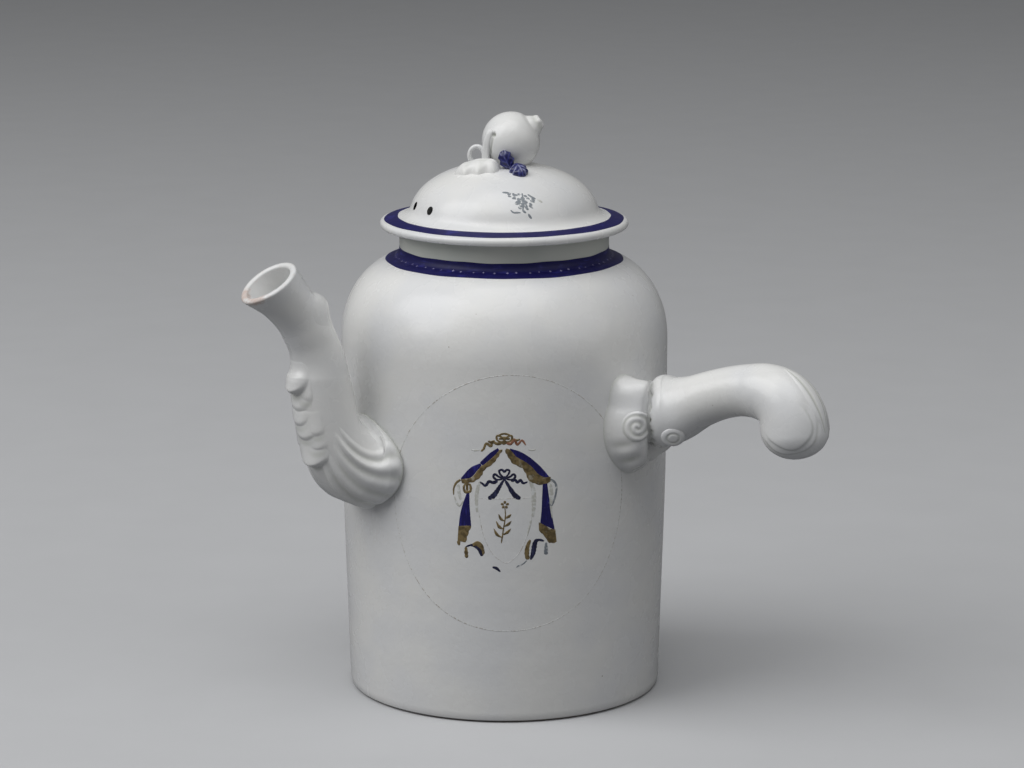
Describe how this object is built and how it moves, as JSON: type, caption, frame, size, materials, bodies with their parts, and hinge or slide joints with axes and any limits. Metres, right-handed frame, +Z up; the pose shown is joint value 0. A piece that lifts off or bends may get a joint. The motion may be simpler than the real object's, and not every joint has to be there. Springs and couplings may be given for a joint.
{
  "type": "chocolate pot",
  "caption": "Glazed porcelain chocolate pot: upright body with domed shoulder, moulded spout, side stick handle and a loose domed lid with a fruit knob.",
  "frame": {"origin": "middle of the foot ring's face, on the surface that the pot stands on", "axes": "+Z up along the pot's axis; -X along the spout; the handle points to 292 degrees, counted anticlockwise from +X seen from above"},
  "size_m": [0.1845, 0.2075, 0.237],
  "materials": {
    "white_glaze": "gloss",
    "grey_glaze": "gloss",
    "bare_clay": "matte",
    "blue_painted_glaze": "gloss"
  },
  "bodies": {
    "pot": {"foot_ring": "bare_clay", "base_disc": "white_glaze", "body_wall": "white_glaze", "shoulder": "white_glaze", "neck": "grey_glaze", "spout_half_near": "white_glaze", "spout_half_far": "white_glaze", "spout_flutes_near": "white_glaze", "spout_flutes_far": "white_glaze", "spout_upper_leaf_tip": "white_glaze", "spout_lower_leaf_tip": "white_glaze", "spout_back_leaf": "white_glaze", "handle_root": "white_glaze", "handle_root_scroll": "white_glaze", "handle_ferrule": "white_glaze", "handle_ferrule_leaf": "white_glaze", "handle_shaft": "white_glaze", "handle_terminal": "white_glaze", "handle_terminal_leaf": "white_glaze"},
    "lid": {"lid_flange": "white_glaze", "lid_dome": "white_glaze", "lid_locating_ring": "grey_glaze", "finial_fruit": "white_glaze", "finial_calyx": "white_glaze", "finial_stalk": "white_glaze", "finial_twig": "white_glaze", "finial_white_leaf": "white_glaze", "finial_blue_leaf": "blue_painted_glaze"}
  },
  "joints": [
    {"name": "lid_lift", "type": "slide", "parent": "pot", "child": "lid", "axis": [0, 0, 1], "range_m": [0, 0.06]}
  ]
}
